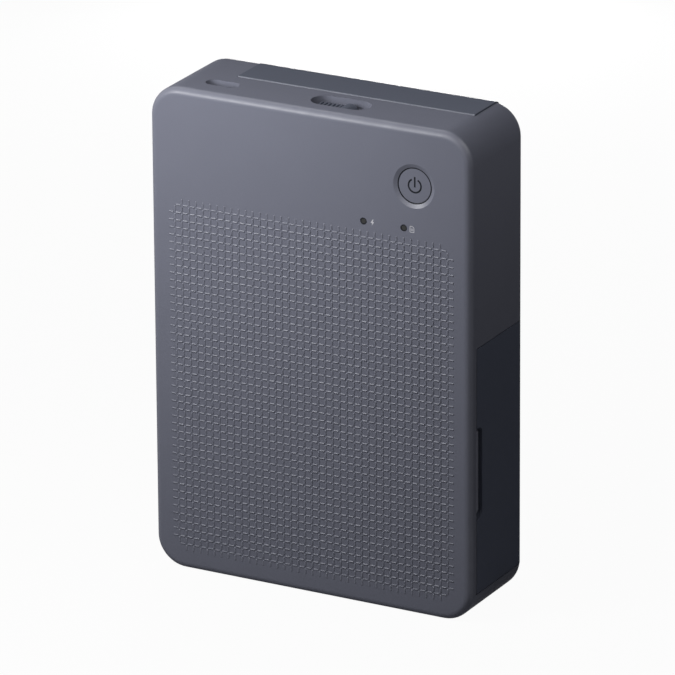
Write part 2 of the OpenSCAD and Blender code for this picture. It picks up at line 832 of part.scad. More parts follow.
module spool(at, r) {
    x0 = left_face + 0.9;
    difference() {
        union() {
            rod_x(x0, handle_x + handle_t - 0.2, at, neck_r);
            rod_x(x0 + 1.4, x0 + 2.2, at, tube_r - tube_wall - 0.4);
            rod_x(handle_x - 1.2, handle_x - 0.4, at, tube_r - tube_wall - 0.4);
        }
        rod_x(x0 - 1, left_face + 4.3, at, socket_r);
    }
    rod_x(paper_left + 0.5, paper_right, at, r);
}

module takeup_spool() {
    color(dark_grey) spool(takeup_at, takeup_roll_r);
}

module supply_spool() {
    color(black) spool(supply_at, roll_r);
}

// Print head

module thermal_head() {
    arm = [left_face + 1, right_plate_x - 0.3 - plate_t];
    face = head_y + 2;
    color(dark_grey) {
        rod_x(left_plate_x, right_plate_x + plate_t, head_at, head_rod_r);
        for (x = arm) {
            rod_x(x, x + plate_t, head_at, head_arm_r);
            block(x, x + plate_t, face - 3.5, face - 1, platen_z - 2, head_z);
        }
        block(arm[0], arm[1] + plate_t, face - 1.2, face, platen_z - 2, platen_z + 5);
    }
    color(gear_white) rod_x(paper_left, paper_right, [face - 0.4, platen_z], 0.7);
}

module head_heatsink() {
    x0 = left_face + 1 + plate_t + 0.3;
    x1 = right_plate_x - 0.6 - plate_t;
    back = head_y + 0.8;
    fin_t = 1;
    fins = 8;
    color(steel) {
        block(x0, x1, back - 2, back, platen_z - 7, head_z - 3);
        for (i = [0 : fins - 1]) let (z = platen_z - 7 + i * 2)
            block(x0, x1, back - 7.5, back - 2, z, z + fin_t);
    }
}

// Rear cover

hook_y = tray_back - 0.4;
rib_t = 1.2;
hook_t = 1.2;
rib_x = [paper_left - guide_gap - guide_t, paper_right - 0.1];
swing_y = press_y + 1.9;
swing_z = top_z - 11.6;
pad = [8, 0.4, 5];
swing_r = 0.8;

module cover_section() {
    difference() {
        translate([cover_y, hinge_z]) square([back_y - cover_y, body_h - hinge_z]);
        difference() {
            translate([back_y - rear_r, body_h - rear_r]) square([rear_r + 1, rear_r + 1]);
            translate([back_y - rear_r, body_h - rear_r]) circle(rear_r);
        }
        difference() {
            translate([cover_y - 1, body_h - cover_edge_r]) square([cover_edge_r + 1, cover_edge_r + 1]);
            translate([cover_y + cover_edge_r, body_h - cover_edge_r]) circle(cover_edge_r);
        }
        translate([cover_y - 1, hinge_z - 1]) square([in_back - cover_y + 1, body_h - wall - hinge_z + 1]);
    }
    translate([hinge_y, hinge_z]) circle(hinge_r);
}

module paper_cover() {
    color(dark_grey) difference() {
        union() {
            along_x(cover_left, cover_right) cover_section();
            for (x = rib_x) block(x, x + rib_t, press_y + 0.6, in_back + eps, tray_low + 2, tray_top);
            for (x = hooks)
                block(x, x + hook_w, hook_y, hook_y + hook_t, latch_top - latch_t, body_h - wall + eps);
            for (x = [cover_mid - 20, cover_mid + 20])
                block(x, x + 1.2, in_back - 1.4, in_back + eps, tray_low + 8, top_z - 20);
        }
        for (x = ear_x)
            rod_x(x - cover_gap, x + ear_w + cover_gap, [hinge_y, hinge_z], 1.5 * hinge_r + cover_gap);
        rod_x(cover_left - 1, cover_right + 1, [hinge_y, hinge_z], pin_r + run_gap);
        for (x = rib_x) rod_x(x - 1, x + rib_t + 1, [swing_y, swing_z], swing_r + run_gap);
        for (at = cover_feet_at) rod_y(at[0], back_y - foot_deep, back_y + 1, at[1], foot_r);
    }
}

module cover_feet() {
    color(black) for (at = cover_feet_at) foot(at);
}

// Leaf spring from the inside of the cover to the back of the pressure plate
module plate_spring() {
    y1 = in_back;
    y0 = press_y + press_t + 0.1;
    t = 0.4;
    top = pickup_z + 28;
    path = [[y1, top], [y1, top - 10], [y0 + 0.3, pickup_z + 3], [y0 + t, pickup_z],
        [y0 + 0.8, pickup_z - 4]];
    color(steel) along_x(cover_mid - 4, cover_mid + 4)
        polygon(concat(path, [for (i = [len(path) - 1 : -1 : 0]) path[i] - [t, 0]]));
}

module pressure_plate() {
    x0 = rib_x[0] + rib_t + 0.5;
    x1 = rib_x[1] - 0.5;
    color(dark_grey) difference() {
        union() {
            block(x0, x1, press_y, press_y + press_t, tray_low + 2, swing_z + 1.4);
            for (x = [x0, x1 - 2]) {
                rod_x(x, x + 2, [swing_y, swing_z], 1.4);
                block(x, x + 2, press_y, swing_y, swing_z - 1.4, swing_z + 1.4);
            }
            rod_x(x0 - 1.5, x0 + eps, [swing_y, swing_z], swing_r);
            rod_x(x1 - eps, x1 + 1.5, [swing_y, swing_z], swing_r);
        }
        block(cover_mid - pad[0], cover_mid + pad[0], press_y - 1, press_y + pad[1], pickup_z - pad[2],
            pickup_z + pad[2]);
    }
}

module friction_pad() {
    color([0.5, 0.36, 0.24])
        block(cover_mid - pad[0], cover_mid + pad[0], press_y, press_y + pad[1], pickup_z - pad[2],
            pickup_z + pad[2]);
}

// Ink door with the finger slot in its front edge
module ink_door() {
    y0 = door_seam + door_gap;
    slot_y = door_seam + slot_d;
    low = door_low + door_gap;
    high = door_high - door_gap;
    low_r = slot_d - 0.15;
    high_r = slot_d / 2;
    color(dark_grey) difference() {
        union() {
            translate([0, 0, low]) linear_extrude(high - low) {
                translate([in_right, y0]) square([wall, door_y - y0]);
                translate([door_x, door_y]) circle(rear_r);
            }
            block(in_right - 2, in_right + eps, y0 + 0.4, y0 + 1.4, door_high - 16, door_high - 10);
        }
        rod_z(door_x, door_y, low - 1, high + 1, pin_r + run_gap);
        along_x(in_right - 1, half_w + 1) {
            translate([y0 - 2, slot_low + low_r])
                square([slot_y - y0 + 2, slot_high - slot_low - low_r - high_r]);
            translate([slot_y - low_r, slot_low + low_r]) circle(low_r);
            translate([slot_y - high_r, slot_high - high_r]) circle(high_r);
            translate([y0 - 2, slot_low + low_r]) square([2, 1]);
            translate([y0 - 2, slot_high - 2 * high_r]) square([slot_y - y0 + 2 - high_r, 2 * high_r]);
        }
    }
}

// Controls

module power_button() {
    color(shell_grey) {
        rod_y(button_mid, front_y + dish_deep, in_front + 0.2, button_z, button_d / 2);
        rod_y(button_mid, in_front + 0.15, in_front + 1, button_z, button_d / 2 + 0.7);
        rod_y(button_mid, in_front + 0.9, board_y - 1.1 - button_travel, button_z, 2);
    }
}

module slide_knob() {
    y0 = recess_mid_y - knob_w / 2;
    y1 = y0 + knob_w;
    low = recess_floor + press_gap;
    plate = low + 0.5;
    rib_top = plate + 0.4;
    hump_r = 2.8;
    hump_top = top_z - 0.7;
    hump_x = knob_x + knob_l - 2.2;
    color(dark_grey) {
        block(knob_x, knob_x + knob_l, y0, y1, low, plate);
        for (i = [0 : knob_ribs - 1]) let (x = knob_x + 0.5 + i * knob_pitch)
            block(x, x + knob_pitch / 2, y0, y1, low, rib_top);
        intersection() {
            rod_y(hump_x, y0, y1, hump_top - hump_r, hump_r);
            block(knob_x, knob_x + knob_l, y0 - 1, y1 + 1, low, top_z);
        }
        block(stem_x, stem_x + stem_w, recess_mid_y - stem_w / 2, recess_mid_y + stem_w / 2, latch_top,
            low + eps);
    }
}

module latch_bar() {
    low = latch_top - latch_t;
    color(gear_white) {
        block(latch_x[0], latch_x[1], recess_mid_y - latch_half, recess_mid_y + latch_half, low,
            latch_top);
        for (x = [latch_x[0], latch_x[1] - latch_w])
            block(x, x + latch_w, recess_mid_y + latch_half - eps, hook_y - press_gap, low, latch_top);
    }
}

main_shell();
back_plate();
rear_feet();
back_screws();
cover_hinge_pin();
door_hinge_pin();
status_lenses();
status_lamps();
circuit_board();
board_screws();
tact_switch();
charge_port();
battery_pack();
paper_tray();
side_plate_left();
side_plate_right();
gear_cover();
drive_motor();
pickup_motor();
ink_cassette();
ribbon_film();
paper_cover();
cover_feet();
plate_spring();
pressure_plate();
friction_pad();
ink_door();
power_button();
slide_knob();
latch_bar();
platen_roller();
platen_gear();
exit_roller();
exit_gear();
pinch_roller();
pickup_roller();
pickup_tyre();
pickup_gear();
idler_gear_a();
idler_gear_b();
takeup_gear();
takeup_spool();
supply_spool();
drive_pinion();
pickup_pinion();
thermal_head();
head_heatsink();
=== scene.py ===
"""Looks of a pocket photo printer: finishes, front pattern, printed signs and inner detail."""
import json
import math

import bmesh
import bpy
from mathutils import Matrix, Vector


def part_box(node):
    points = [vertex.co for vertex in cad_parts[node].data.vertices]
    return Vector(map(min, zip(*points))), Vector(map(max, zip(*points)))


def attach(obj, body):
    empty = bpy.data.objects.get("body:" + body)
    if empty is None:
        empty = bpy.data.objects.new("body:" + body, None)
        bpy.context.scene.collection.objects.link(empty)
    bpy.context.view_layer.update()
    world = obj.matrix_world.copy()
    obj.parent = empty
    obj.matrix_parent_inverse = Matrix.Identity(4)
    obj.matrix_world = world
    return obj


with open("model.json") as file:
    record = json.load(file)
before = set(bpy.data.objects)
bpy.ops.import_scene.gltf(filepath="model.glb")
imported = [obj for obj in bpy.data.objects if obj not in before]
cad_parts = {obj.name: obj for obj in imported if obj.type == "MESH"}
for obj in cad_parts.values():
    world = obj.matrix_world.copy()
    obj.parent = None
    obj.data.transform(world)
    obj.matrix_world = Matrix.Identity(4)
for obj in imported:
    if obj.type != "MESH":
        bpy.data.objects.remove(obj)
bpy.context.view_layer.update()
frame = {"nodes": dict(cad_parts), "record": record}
MM = 0.001
nodes = frame["nodes"]


# Camera: angles in degrees, distance and target in metres, sensor and lens in millimetres

CAMERA_AZIMUTH = 28.557
CAMERA_ELEVATION = 20.20
CAMERA_ROLL = -0.376
CAMERA_DISTANCE = 2.08535
CAMERA_TARGET = Vector((-0.00004, 0, 0.072661))
CAMERA_SENSOR = 36
CAMERA_LENS = 391.88
CAMERA_NEAR = 0.05
CAMERA_FAR = 20


def make_camera():
    """The photograph's camera, from the azimuth, elevation and roll that fit the printer's outline."""
    turn = math.radians(CAMERA_AZIMUTH)
    lift = math.radians(CAMERA_ELEVATION)
    roll = math.radians(CAMERA_ROLL)
    back = Vector((math.sin(turn) * math.cos(lift), -math.cos(turn) * math.cos(lift), math.sin(lift)))
    level = (-back).cross(Vector((0, 0, 1))).normalized()
    upright = level.cross(-back)
    right = math.cos(roll) * level + math.sin(roll) * upright
    top = -math.sin(roll) * level + math.cos(roll) * upright
    data = bpy.data.cameras.new("camera")
    data.sensor_width = CAMERA_SENSOR
    data.lens = CAMERA_LENS
    data.clip_start = CAMERA_NEAR
    data.clip_end = CAMERA_FAR
    camera = bpy.data.objects.new("camera", data)
    place = Matrix((right, top, back)).transposed().to_4x4()
    place.translation = CAMERA_TARGET + CAMERA_DISTANCE * back
    camera.matrix_world = place
    bpy.context.collection.objects.link(camera)
    bpy.context.scene.camera = camera


# Shader node helpers

FLOAT = "NodeSocketFloat"
COLOUR = "NodeSocketColor"
VECTOR = "NodeSocketVector"


def new_group(name, inputs, outputs):
    """A shader node group with named sockets, given as (kind, name, value) and (kind, name)."""
    group = bpy.data.node_groups.new(name, "ShaderNodeTree")
    for kind, label, value in inputs:
        socket = group.interface.new_socket(label, in_out="INPUT", socket_type=kind)
        socket.default_value = value
    for kind, label in outputs:
        group.interface.new_socket(label, in_out="OUTPUT", socket_type=kind)
    source = group.nodes.new("NodeGroupInput")
    sink = group.nodes.new("NodeGroupOutput")
    return group, source, sink


def math_node(tree, operation, a, b=None):
    """A math node; a and b are sockets or numbers."""
    node = tree.nodes.new("ShaderNodeMath")
    node.operation = operation
    for i, value in enumerate((a, b)):
        if value is None:
            continue
        if isinstance(value, (int, float)):
            node.inputs[i].default_value = value
        else:
            tree.links.new(value, node.inputs[i])
    return node.outputs[0]


# Grain: noise scales per metre, depth in metres

GRAIN_SCALE = 3500.0
GRAIN_DEPTH = 0.00002
GRAIN_MOTTLE = 0.06
GRAIN_DETAIL = 2.0
MOTTLE_SCALE = 70.0
MOTTLE_DETAIL = 4.0
ROUGHNESS_SHARE = 0.8


def grain_group():
    """Fine spark-eroded grain of a moulding: a bump, with a little mottle in colour and roughness."""
    group, source, sink = new_group("moulded_grain", [
        (COLOUR, "Color", (0.5, 0.5, 0.5, 1)), (FLOAT, "Roughness", 0.5), (FLOAT, "Grain", GRAIN_SCALE),
        (FLOAT, "Depth", GRAIN_DEPTH), (FLOAT, "Mottle", GRAIN_MOTTLE)],
        [(COLOUR, "Color"), (FLOAT, "Roughness"), (VECTOR, "Normal")])
    place = group.nodes.new("ShaderNodeTexCoord")
    fine = group.nodes.new("ShaderNodeTexNoise")
    fine.inputs["Detail"].default_value = GRAIN_DETAIL
    broad = group.nodes.new("ShaderNodeTexNoise")
    broad.inputs["Scale"].default_value = MOTTLE_SCALE
    broad.inputs["Detail"].default_value = MOTTLE_DETAIL
    for tex in (fine, broad):
        group.links.new(place.outputs["Object"], tex.inputs["Vector"])
    group.links.new(source.outputs["Grain"], fine.inputs["Scale"])
    both = math_node(group, "ADD", fine.outputs["Fac"], broad.outputs["Fac"])
    centred = math_node(group, "SUBTRACT", both, 1.0)
    swing = math_node(group, "MULTIPLY", centred, source.outputs["Mottle"])
    bright = math_node(group, "ADD", swing, 1.0)
    hue = group.nodes.new("ShaderNodeHueSaturation")
    group.links.new(source.outputs["Color"], hue.inputs["Color"])
    group.links.new(bright, hue.inputs["Value"])
    group.links.new(hue.outputs["Color"], sink.inputs["Color"])
    rough_swing = math_node(group, "MULTIPLY", swing, ROUGHNESS_SHARE)
    rough = math_node(group, "ADD", source.outputs["Roughness"], rough_swing)
    group.links.new(rough, sink.inputs["Roughness"])
    bump = group.nodes.new("ShaderNodeBump")
    bump.inputs["Strength"].default_value = 1.0
    group.links.new(source.outputs["Depth"], bump.inputs["Distance"])
    group.links.new(fine.outputs["Fac"], bump.inputs["Height"])
    group.links.new(bump.outputs["Normal"], sink.inputs["Normal"])
    return group


# Polish on the edges: its gain, its share on upright faces, and how unevenly it is worn

POLISH_AMOUNT = 0.4
POLISH_GAIN = 7.0
UPRIGHT_SHARE = 0.3
UPWARD_GAIN = 1.3
WEAR_SCALE = 180.0
WEAR_SPAN = 0.6
WEAR_LEAST = 0.7
POLISH_ROUGHNESS = 0.4


def clamp_node(tree, value):
    """A value held between 0 and 1."""
    node = tree.nodes.new("ShaderNodeClamp")
    tree.links.new(value, node.inputs[0])
    return node.outputs[0]


def polish_group():
    """Mask of the polish on the edges between front or back and the other faces, most where they look up."""
    group, source, sink = new_group("edge_polish", [
        (FLOAT, "Amount", POLISH_AMOUNT), (FLOAT, "Gain", POLISH_GAIN),
        (FLOAT, "Upright Share", UPRIGHT_SHARE)],
        [(FLOAT, "Mask")])
    place = group.nodes.new("ShaderNodeTexCoord")
    split = group.nodes.new("ShaderNodeSeparateXYZ")
    group.links.new(place.outputs["Normal"], split.inputs[0])
    square = math_node(group, "MULTIPLY", split.outputs[1], split.outputs[1])
    band = math_node(group, "MULTIPLY", square, math_node(group, "SUBTRACT", 1.0, square))
    edge = clamp_node(group, math_node(group, "MULTIPLY", band, source.outputs["Gain"]))
    wear = group.nodes.new("ShaderNodeTexNoise")
    wear.inputs["Scale"].default_value = WEAR_SCALE
    group.links.new(place.outputs["Object"], wear.inputs["Vector"])
    swing = math_node(group, "MULTIPLY", wear.outputs["Fac"], WEAR_SPAN)
    uneven = math_node(group, "ADD", swing, WEAR_LEAST)
    amount = math_node(group, "MULTIPLY", uneven, source.outputs["Amount"])
    lean = math_node(group, "MULTIPLY", split.outputs[2], UPWARD_GAIN)
    upward = clamp_node(group, math_node(group, "ADD", lean, source.outputs["Upright Share"]))
    mask = math_node(group, "MULTIPLY", edge, amount)
    group.links.new(math_node(group, "MULTIPLY", mask, upward), sink.inputs["Mask"])
    return group


GRAIN = grain_group()
POLISH = polish_group()


def finish(name, colour, roughness, grain=GRAIN_SCALE, depth=GRAIN_DEPTH, mottle=GRAIN_MOTTLE,
           polish=0.0, **shader):
    """A material with the grain in its colour, roughness and normal, and polished edges where asked.

    The other named values go to the shader's own sockets, with _ for the spaces in a socket's name.
    """
    material = bpy.data.materials.new(name)
    material.use_nodes = True
    tree = material.node_tree
    surface = tree.nodes["Principled BSDF"]
    group = tree.nodes.new("ShaderNodeGroup")
    group.node_tree = GRAIN
    group.inputs["Color"].default_value = (*colour, 1)
    group.inputs["Roughness"].default_value = roughness
    group.inputs["Grain"].default_value = grain
    group.inputs["Depth"].default_value = depth
    group.inputs["Mottle"].default_value = mottle
    tree.links.new(group.outputs["Color"], surface.inputs["Base Color"])
    tree.links.new(group.outputs["Roughness"], surface.inputs["Roughness"])
    tree.links.new(group.outputs["Normal"], surface.inputs["Normal"])
    if polish:
        edges = tree.nodes.new("ShaderNodeGroup")
        edges.node_tree = POLISH
        edges.inputs["Amount"].default_value = polish
        tree.links.new(edges.outputs["Mask"], surface.inputs["Coat Weight"])
        surface.inputs["Coat Roughness"].default_value = POLISH_ROUGHNESS
    for label, value in shader.items():
        surface.inputs[label.replace("_", " ")].default_value = value
    return material


# Finishes: linear colours; MATT is the specular level of the matt mouldings

SHELL = (0.126, 0.131, 0.164)
COVER = (0.09, 0.098, 0.126)
DOOR = (0.084, 0.093, 0.126)
MATT = 0.001
shell_finish = finish("shell_moulding", SHELL, 0.42, polish=0.85, Specular_IOR_Level=MATT)
pattern_finish = finish("pattern_moulding", SHELL, 0.42, polish=0.8, Specular_IOR_Level=MATT,
                        Coat_Roughness=0.6, Coat_IOR=1.8)
cover_finish = finish("cover_moulding", COVER, 0.42, polish=0.9, Specular_IOR_Level=MATT)
door_finish = finish("door_moulding", DOOR, 0.42, polish=0.6, Specular_IOR_Level=MATT)
dark_finish = finish("inner_moulding", (0.02, 0.02, 0.022), 0.45)
hub_finish = finish("hub_plastic", (0.32, 0.32, 0.31), 0.4)
gear_finish = finish("gear_plastic", (0.7, 0.69, 0.64), 0.4)
rubber_finish = finish("roller_rubber", (0.014, 0.014, 0.015), 0.8, grain=2200.0, depth=0.00004)
steel_finish = finish("plated_steel", (0.55, 0.56, 0.58), 0.3, grain=1500.0, mottle=0.1, Metallic=1.0)
aluminium_finish = finish("extruded_aluminium", (0.7, 0.71, 0.72), 0.36, grain=1200.0, mottle=0.1,
                          Metallic=1.0)
board_finish = finish("solder_resist", (0.012, 0.11, 0.05), 0.3, grain=900.0, depth=0.00001, mottle=0.2)
battery_finish = finish("battery_wrap", (0.03, 0.03, 0.035), 0.35, grain=500.0, depth=0.00001)
ribbon_finish = finish("ribbon_coating", (0.02, 0.012, 0.02), 0.15, grain=600.0, depth=0.000005)
lens_finish = finish("smoked_lens", (0.02, 0.021, 0.02), 0.2, grain=900.0, depth=0.000002,
                     Specular_IOR_Level=0.3)
lamp_finish = finish("lamp_resin", (0.8, 0.8, 0.74), 0.2, grain=900.0, depth=0.000002)
cork_finish = finish("cork_pad", (0.32, 0.19, 0.1), 0.85, grain=1200.0, depth=0.00008, mottle=0.5)
pale_print = finish("pale_print", (0.42, 0.42, 0.45), 0.5, grain=4000.0, depth=0.000004)
# Dark print, also used for the ring of painted shade in the gap round the power button
dark_print_and_gap_shade = finish("dark_print_and_gap_shade", (0.008, 0.009, 0.012), 0.5, grain=4000.0, depth=0.000004,
                    Specular_IOR_Level=0.1)

SLOT_FINISH = {
    "shell_grey": shell_finish, "cover_grey": cover_finish, "inner_grey": dark_finish,
    "gear_white": gear_finish, "lens": lens_finish, "lamp": lamp_finish, "board": board_finish,
    "battery": battery_finish, "ribbon": ribbon_finish, "cork": cork_finish, "rubber": rubber_finish,
    "steel": steel_finish, "aluminium": aluminium_finish}


def dress_nodes():
    """Each CAD node gets the finish of its material slot; the ink door is a darker moulding."""
    for part in frame["record"]["subparts"]:
        piece = nodes[part["node"]]
        for slot in piece.material_slots:
            slot.material = SLOT_FINISH[part["material_slot"]]
    for slot in nodes["ink_door"].material_slots:
        slot.material = door_finish


# Mesh helpers

def new_piece(name, verts, faces, material, body):
    """A mesh piece with the given finish that rides on a body."""
    mesh = bpy.data.meshes.new(name)
    mesh.from_pydata(verts, [], faces)
    mesh.validate()
    mesh.materials.append(material)
    piece = bpy.data.objects.new(name, mesh)
    bpy.context.collection.objects.link(piece)
    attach(piece, body)


# Raised pattern of short bars on the front

PITCH = 2.29 * MM
FIRST_ROW = 110.86 * MM
FIRST_COLUMN = -43.19 * MM
ROWS = 46
COLUMNS = 39
BAR_LENGTH = 1.55 * MM
BAR_WIDTH = 0.56 * MM
BAR_HEIGHT = 0.22 * MM
BAR_SINK = 0.03 * MM
EDGE_FADE = 0.75

# Shares of a bar's length, width and height at its shoulder and at its ridge
BAR_SHOULDER = (0.97, 0.86, 0.45)
BAR_RIDGE = (0.82, 0.12, 1.0)


def add_bar(verts, faces, x, z, upright, height, front):
    """One bar with steep sides and a low ridge, its foot a little below the surface."""
    rings = [(1.0, 1.0, -BAR_SINK)]
    rings += [(along, across, share * height) for along, across, share in (BAR_SHOULDER, BAR_RIDGE)]
    start = len(verts)
    for along, across, rise in rings:
        a = BAR_LENGTH / 2 * along
        b = BAR_WIDTH / 2 * across
        for u, v in ((-a, -b), (a, -b), (a, b), (-a, b)):
            if upright:
                u, v = -v, u
            verts.append((x + u, front - rise, z + v))
    for ring in range(len(rings) - 1):
        low = start + 4 * ring
        for i in range(4):
            j = (i + 1) % 4
            faces.append((low + i, low + j, low + 4 + j, low + 4 + i))
    top = start + 4 * (len(rings) - 1)
    faces.append((top, top + 1, top + 2, top + 3))


def add_bars(verts, faces, lines, crossings, upright, front):
    """The bars of one direction: each line has one in every gap between crossings and one past each end."""
    for line in range(lines):
        for gap in range(-1, crossings):
            edges = (line in (0, lines - 1), gap in (-1, crossings - 1))
            if all(edges):
                continue
            height = BAR_HEIGHT * (EDGE_FADE if any(edges) else 1)
            column, row = (line, gap + 0.5) if upright else (gap + 0.5, line)
            x = FIRST_COLUMN + column * PITCH
            z = FIRST_ROW - row * PITCH
            add_bar(verts, faces, x, z, upright, height, front)


def front_pattern():
    """Bars between the crossings of a square grid; the outermost ones are lower and its corners are bare."""
    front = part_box("main_shell")[0][1]
    verts, faces = [], []
    add_bars(verts, faces, ROWS, COLUMNS, False, front)
    add_bars(verts, faces, COLUMNS, ROWS, True, front)
    new_piece("front_pattern", verts, faces, pattern_finish, "case")


# Printed shapes

SIGN_RISE = 0.012 * MM
RING_STEPS = 48


def add_plate(verts, faces, outline, front):
    """A thin printed shape from its outline in X and Z, counted anticlockwise as the front is seen."""
    start = len(verts)
    count = len(outline)
    for rise in (-SIGN_RISE, SIGN_RISE):
        for x, z in outline:
            verts.append((x, front - rise, z))
    faces.append(tuple(range(start + count, start + 2 * count)))
    for i in range(count):
        j = (i + 1) % count
        faces.append((start + i, start + j, start + count + j, start + count + i))


def add_stroke(verts, faces, start, end, width, front):
    """A straight printed line with square ends."""
    a, b = Vector(start), Vector(end)
    along = (b - a).normalized()
    side = Vector((-along.y, along.x)) * width / 2
    corners = [a - side, b - side, b + side, a + side]
    add_plate(verts, faces, [(c.x, c.y) for c in corners], front)


def add_arc(verts, faces, centre, inner, outer, half_gap, front):
    """A printed ring between two radii, open at its top by twice a half angle in degrees."""
    x0, z0 = centre
    span = math.radians(360 - 2 * half_gap)
    for i in range(RING_STEPS):
        ends = []
        for k in (i, i + 1):
            angle = math.radians(90 + half_gap) + span * k / RING_STEPS
            ends.append((math.cos(angle), math.sin(angle)))
        (c0, s0), (c1, s1) = ends
        outline = [(x0 + outer * c0, z0 + outer * s0), (x0 + outer * c1, z0 + outer * s1),
                   (x0 + inner * c1, z0 + inner * s1), (x0 + inner * c0, z0 + inner * s0)]
        add_plate(verts, faces, outline, front)


# Power button: its sign, and the profile of the ring of painted shade in the gap round it, as radius and
# rise before the button's face

SIGN_RADIUS = 1.97 * MM
SIGN_LINE = 0.5 * MM
SIGN_HALF_GAP = 28
SIGN_FOOT = 0.45 * MM
SIGN_TOP = 2.6 * MM
GAP_SHADE_PROFILE = ((5.05 * MM, 0), (5.36 * MM, 0.1 * MM), (5.3 * MM, -0.02 * MM))


def button_face():
    """The button's middle in X and Z and the depth of its face in Y."""
    low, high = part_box("power_button")
    return (low[0] + high[0]) / 2, (low[2] + high[2]) / 2, low[1]


def power_sign():
    """The standard power sign on the button: an open ring with an upright line in its gap."""
    x0, z0, front = button_face()
    verts, faces = [], []
    inner = SIGN_RADIUS - SIGN_LINE / 2
    outer = SIGN_RADIUS + SIGN_LINE / 2
    add_arc(verts, faces, (x0, z0), inner, outer, SIGN_HALF_GAP, front)
    add_stroke(verts, faces, (x0, z0 - SIGN_FOOT), (x0, z0 + SIGN_TOP), SIGN_LINE, front)
    new_piece("power_sign", verts, faces, dark_print_and_gap_shade, "button")


def button_gap_shade():
    """A dark ring of painted shade on the dish where it meets the gap round the button."""
    x0, z0, front = button_face()
    verts, faces = [], []
    count = 2 * RING_STEPS
    for radius, rise in GAP_SHADE_PROFILE:
        for i in range(count):
            angle = math.pi * i / RING_STEPS
            verts.append((x0 + radius * math.cos(angle), front - rise, z0 + radius * math.sin(angle)))
    for ring in range(len(GAP_SHADE_PROFILE)):
        a, b = ring * count, (ring + 1) % len(GAP_SHADE_PROFILE) * count
        for i in range(count):
            j = (i + 1) % count
            faces.append((a + i, a + j, b + j, b + i))
    new_piece("button_gap_shade", verts, faces, dark_print_and_gap_shade, "case")


# Lamp windows: the radius of the window and of the flange behind it, and the width of the rim

LENS_RADIUS = 1.0 * MM
FLANGE_RADIUS = 1.5 * MM
RIM_WIDTH = 0.3 * MM


def lens_rims():
    """The dark rims of the lamp windows."""
    low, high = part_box("status_lenses")
    verts, faces = [], []
    for x in (low[0] + FLANGE_RADIUS, high[0] - FLANGE_RADIUS):
        middle = (x, (low[2] + high[2]) / 2)
        add_arc(verts, faces, middle, LENS_RADIUS - RIM_WIDTH, LENS_RADIUS, 0, low[1])
    new_piece("lens_rims", verts, faces, dark_print_and_gap_shade, "case")


# Signs beside the lamp windows: their places, the bolt's outline, and half the page's width and height

LAMP_Z = 115.6 * MM
BOLT_X = 20.2 * MM
BOLT_SIZE = 0.92
BOLT = ((0.15, 1.0), (-0.62, -0.12), (-0.08, -0.12), (-0.2, -1.0), (0.62, 0.2), (0.08, 0.2), (0.42, 1.0))
PAGE_X = 32.7 * MM
PAGE = (0.62 * MM, 0.85 * MM)
PAGE_FOLD = 0.42 * MM
PAGE_LINE = 0.17 * MM
PAGE_ROWS = (-0.35, 0.1)
PAGE_ROW_SHARE = 0.55


def lamp_signs():
    """Small generic signs beside the lamp windows: a charging bolt and a sheet of paper."""
    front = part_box("main_shell")[0][1]
    verts, faces = [], []
    bolt = [(BOLT_X + x * BOLT_SIZE * MM, LAMP_Z + z * BOLT_SIZE * MM) for x, z in BOLT]
    add_plate(verts, faces, bolt, front)
    w, h = PAGE
    corners = [(-w, -h), (w, -h), (w, h - PAGE_FOLD), (w - PAGE_FOLD, h), (-w, h)]
    page = [(PAGE_X + x, LAMP_Z + z) for x, z in corners]
    for i, corner in enumerate(page):
        add_stroke(verts, faces, corner, page[(i + 1) % len(page)], PAGE_LINE, front)
    for row in PAGE_ROWS:
        left = (PAGE_X - PAGE_ROW_SHARE * w, LAMP_Z + row * h)
        right = (PAGE_X + PAGE_ROW_SHARE * w, LAMP_Z + row * h)
        add_stroke(verts, faces, left, right, PAGE_LINE, front)
    new_piece("lamp_signs", verts, faces, pale_print, "case")


# Blocks and rings of the inner detail; SINK is how far a piece reaches into what carries it

SINK = 0.05 * MM
EDGE_CUT = 0.1 * MM
EDGE_STEPS = 2
EDGE_PROFILE = 0.6


def add_block(verts, faces, low, high):
    """A block between two corners with its twelve edges cut back."""
    shape = bmesh.new()
    bmesh.ops.create_cube(shape, size=1)
    for vert in shape.verts:
        vert.co = Vector([low[i] + (high[i] - low[i]) * (vert.co[i] + 0.5) for i in range(3)])
    bmesh.ops.bevel(shape, geom=shape.edges[:], offset=EDGE_CUT, segments=EDGE_STEPS,
                    profile=EDGE_PROFILE, affect="EDGES")
    start = len(verts)
    shape.verts.index_update()
    verts.extend(tuple(vert.co) for vert in shape.verts)
    faces.extend(tuple(start + vert.index for vert in face.verts) for face in shape.faces)
    shape.free()


def add_ring(verts, faces, centre, inner, outer, x0, x1, steps=40):
    """A flat ring about an axis along X, from its centre in Y and Z."""
    start = len(verts)
    for radius, x in ((inner, x0), (outer, x0), (outer, x1), (inner, x1)):
        for i in range(steps):
            angle = 2 * math.pi * i / steps
            verts.append((x, centre[0] + radius * math.cos(angle), centre[1] + radius * math.sin(angle)))
    for ring in range(4):
        low, high = ring * steps, (ring + 1) % 4 * steps
        for i in range(steps):
            j = (i + 1) % steps
            faces.append((start + low + i, start + low + j, start + high + j, start + high + i))


# Runs for the paper: places across its middle, and the bare length below and above them

RUNS = (-24, -12, 12, 24)
RUN_WIDTH = 0.9 * MM
RUN_RISE = 0.25 * MM
BELOW_RUNS = 4 * MM
ABOVE_RUNS = 5 * MM
TRAY_FLOOR = 1 * MM


